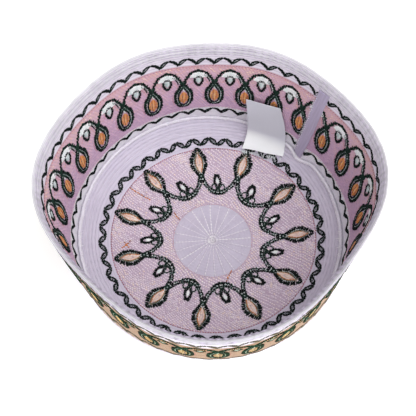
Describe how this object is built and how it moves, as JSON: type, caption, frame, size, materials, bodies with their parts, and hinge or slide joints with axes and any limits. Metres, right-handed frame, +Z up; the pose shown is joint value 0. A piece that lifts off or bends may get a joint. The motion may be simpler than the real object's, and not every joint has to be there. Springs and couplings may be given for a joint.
{
  "type": "prayer cap",
  "caption": "Round prayer cap of stiff embroidered cloth with a flaring wall, folded hem, piped crown seam, inner tape and blank label, lying on its crown with the opening up.",
  "frame": {"origin": "on the surface that the cap lies on, under the middle of the opening seen from above", "axes": "+Z up through the opening, +X to the right and +Y away from the viewer of the picture"},
  "size_m": [0.1944, 0.1799, 0.0984],
  "materials": {
    "crown_cloth": "matt lavender cloth under pink, peach and dark green embroidery",
    "wall_cloth": "matt mauve cloth under dark green, white and orange embroidery, golden outside",
    "hem_cloth": "matt pale lavender cloth, folded and quilted",
    "seam_piping": "matt pale cloth",
    "tape_cloth": "smooth greyish lavender tape",
    "label_ribbon": "satin white ribbon, bare"
  },
  "bodies": {
    "root": {"crown": "crown_cloth", "side_wall": "wall_cloth", "rim_hem": "hem_cloth", "crown_seam": "seam_piping", "seam_tape": "tape_cloth", "label": "label_ribbon"}
  },
  "joints": []
}
